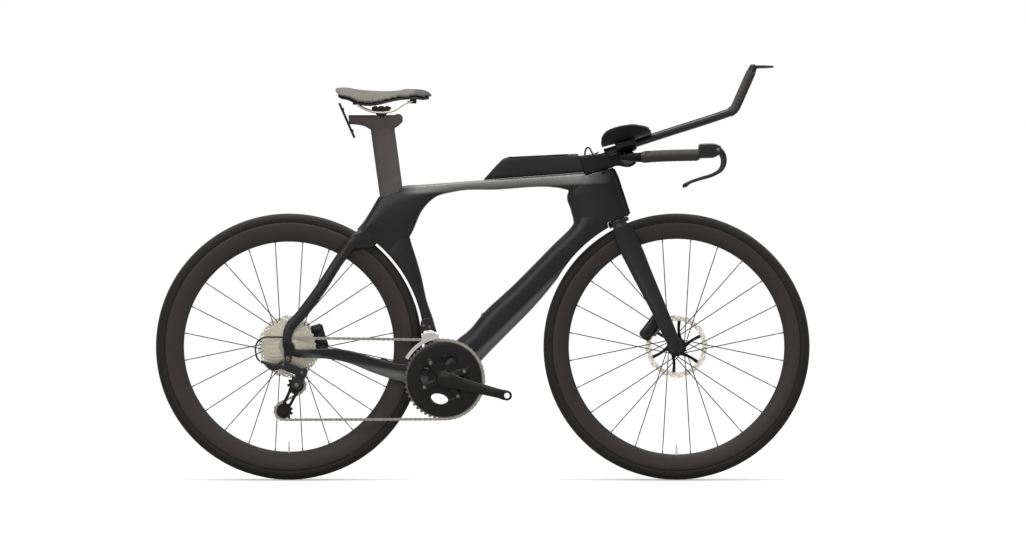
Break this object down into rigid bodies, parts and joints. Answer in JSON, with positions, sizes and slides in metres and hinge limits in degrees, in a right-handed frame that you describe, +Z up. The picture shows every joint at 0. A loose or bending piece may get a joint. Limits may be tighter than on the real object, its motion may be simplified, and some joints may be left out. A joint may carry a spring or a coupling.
{
  "type": "time trial bike",
  "caption": "Time trial bike with deep rims, disc brakes, aero bars with arm rests and extensions, a storage box on the top tube, a sliding seatpost and turning wheels and crank.",
  "frame": {"origin": "on the ground, midway between the two wheel axles, in the bike's middle plane", "axes": "+X forward, +Y to the rider's left, +Z up"},
  "size_m": [1.67, 0.4286, 1.0624],
  "materials": {
    "frame_paint": "satin charcoal paint over moulded carbon fibre",
    "carbon_black": "satin black moulded carbon fibre",
    "carbon_rim": "matte black moulded carbon fibre, faintly brown",
    "black_alloy": "black anodised, satin",
    "black_plastic": "matte black",
    "steel": "nickel plated, slightly warm",
    "rotor_steel": "ground braking track",
    "tyre": "matte black",
    "saddle_cover": "smooth matte synthetic cover over foam",
    "pad_foam": "matte black cover over foam",
    "cable_housing": "smooth black sleeve"
  },
  "bodies": {
    "frame": {"frame": "frame_paint", "top_tube_box": "black_plastic", "head_tube_cover": "carbon_black", "derailleur_hanger": "black_alloy", "seat_wedge": "black_alloy", "rear_thru_axle": "black_alloy", "rear_caliper": "black_alloy", "bottom_bracket": "black_alloy", "headset_lower": "steel", "headset_upper": "steel", "front_derailleur_body": "black_alloy", "front_derailleur_cage": "steel", "rear_derailleur_body": "black_alloy", "rear_shift_cable": "cable_housing", "chain": "steel"},
    "box_lid": {"box_lid": "black_plastic"},
    "seatpost": {"seatpost": "carbon_black", "rear_mount_plate": "black_alloy"},
    "rail_clamp": {"rail_clamp": "black_alloy"},
    "saddle": {"saddle_rails": "steel", "saddle_shell": "black_plastic", "saddle_pad": "saddle_cover"},
    "fork": {"fork": "frame_paint", "stem": "carbon_black", "base_bar": "carbon_black", "arm_rest_bridge": "black_alloy", "arm_cup_left": "black_plastic", "arm_cup_right": "black_plastic", "arm_pad_left": "pad_foam", "arm_pad_right": "pad_foam", "brake_body_left": "black_plastic", "brake_body_right": "black_plastic", "front_caliper": "black_alloy", "front_thru_axle": "black_alloy", "shift_hose_left": "cable_housing", "shift_hose_right": "cable_housing"},
    "brake_lever_left": {"brake_lever_left": "carbon_black"},
    "extension_left": {"extension_left": "carbon_black", "shifter_body_left": "black_alloy"},
    "shifter_lever_left": {"shifter_lever_left": "carbon_black"},
    "brake_lever_right": {"brake_lever_right": "carbon_black"},
    "extension_right": {"extension_right": "carbon_black", "shifter_body_right": "black_alloy"},
    "shifter_lever_right": {"shifter_lever_right": "carbon_black"},
    "front_wheel": {"front_rim": "carbon_rim", "front_tyre": "tyre", "front_hub": "black_alloy", "front_rotor": "rotor_steel"},
    "rear_wheel": {"rear_rim": "carbon_rim", "rear_tyre": "tyre", "rear_hub": "black_alloy", "rear_rotor": "rotor_steel"},
    "crank": {"crank_right": "black_alloy", "crank_left": "black_alloy", "big_ring": "black_alloy", "small_ring": "black_alloy"},
    "cassette": {"cassette": "steel"},
    "rear_derailleur_cage": {"rear_derailleur_cage": "black_alloy"},
    "guide_pulley": {"guide_pulley": "black_plastic"},
    "tension_pulley": {"tension_pulley": "black_plastic"}
  },
  "joints": [
    {"name": "seatpost_slide", "type": "slide", "parent": "frame", "child": "seatpost", "axis": [-0.1357, 0, 0.9907], "range_m": [-0.02, 0.04]},
    {"name": "saddle_tilt", "type": "hinge", "parent": "seatpost", "child": "rail_clamp", "pos_m": [-0.259, 0, 0.94], "axis": [0, 1, 0], "range_deg": [-8, 8]},
    {"name": "saddle_slide", "type": "slide", "parent": "rail_clamp", "child": "saddle", "axis": [1, 0, 0], "range_m": [-0.014, 0.014]},
    {"name": "steer", "type": "hinge", "parent": "frame", "child": "fork", "pos_m": [0.34508, 0, 0.66517], "axis": [-0.3007, 0, 0.9537], "range_deg": [-40, 40]},
    {"name": "front_wheel_spin", "type": "hinge", "parent": "fork", "child": "front_wheel", "pos_m": [0.495, 0, 0.34], "axis": [0, 1, 0], "continuous": true},
    {"name": "rear_wheel_spin", "type": "hinge", "parent": "frame", "child": "rear_wheel", "pos_m": [-0.495, 0, 0.34], "axis": [0, 1, 0], "continuous": true},
    {"name": "crank_spin", "type": "hinge", "parent": "frame", "child": "crank", "pos_m": [-0.098, 0, 0.256], "axis": [0, 1, 0], "continuous": true},
    {"name": "cassette_spin", "type": "hinge", "parent": "frame", "child": "cassette", "pos_m": [-0.495, 0, 0.34], "axis": [0, 1, 0], "continuous": true},
    {"name": "cage_swing", "type": "hinge", "parent": "frame", "child": "rear_derailleur_cage", "pos_m": [-0.475, 0, 0.242], "axis": [0, -1, 0], "range_deg": [0, 28], "stiffness_Nm_per_rad": 0.15, "springref_deg": -45.84, "deforming": ["chain"]},
    {"name": "guide_pulley_spin", "type": "hinge", "parent": "rear_derailleur_cage", "child": "guide_pulley", "pos_m": [-0.475, 0, 0.242], "axis": [0, 1, 0], "continuous": true},
    {"name": "tension_pulley_spin", "type": "hinge", "parent": "rear_derailleur_cage", "child": "tension_pulley", "pos_m": [-0.508, 0, 0.176], "axis": [0, 1, 0], "continuous": true},
    {"name": "box_lid_hinge", "type": "hinge", "parent": "frame", "child": "box_lid", "pos_m": [0.22004, 0, 0.8323], "axis": [0, 1, 0], "range_deg": [0, 95]},
    {"name": "brake_lever_left_pull", "type": "hinge", "parent": "fork", "child": "brake_lever_left", "pos_m": [0.6, 0.2, 0.842], "axis": [0, 1, 0], "range_deg": [0, 22], "stiffness_Nm_per_rad": 1, "springref_deg": -6.88},
    {"name": "brake_lever_right_pull", "type": "hinge", "parent": "fork", "child": "brake_lever_right", "pos_m": [0.6, -0.2, 0.842], "axis": [0, 1, 0], "range_deg": [0, 22], "stiffness_Nm_per_rad": 1, "springref_deg": -6.88},
    {"name": "extension_left_slide", "type": "slide", "parent": "fork", "child": "extension_left", "axis": [0.9511, 0, 0.309], "range_m": [-0.02, 0.02], "deforming": ["shift_hose_left"]},
    {"name": "shifter_lever_left_turn", "type": "hinge", "parent": "extension_left", "child": "shifter_lever_left", "pos_m": [0.69128, 0.055, 1.05395], "axis": [0, -1, 0], "range_deg": [-35, 60]},
    {"name": "extension_right_slide", "type": "slide", "parent": "fork", "child": "extension_right", "axis": [0.9511, 0, 0.309], "range_m": [-0.02, 0.02], "deforming": ["shift_hose_right"]},
    {"name": "shifter_lever_right_turn", "type": "hinge", "parent": "extension_right", "child": "shifter_lever_right", "pos_m": [0.69128, -0.055, 1.05395], "axis": [0, -1, 0], "range_deg": [-35, 60]}
  ],
  "couplings": [
    {"joint": "cassette_spin", "follows": "crank_spin", "ratio": 4.5455},
    {"joint": "guide_pulley_spin", "follows": "crank_spin", "ratio": -4.5455},
    {"joint": "tension_pulley_spin", "follows": "crank_spin", "ratio": 4.5455}
  ]
}
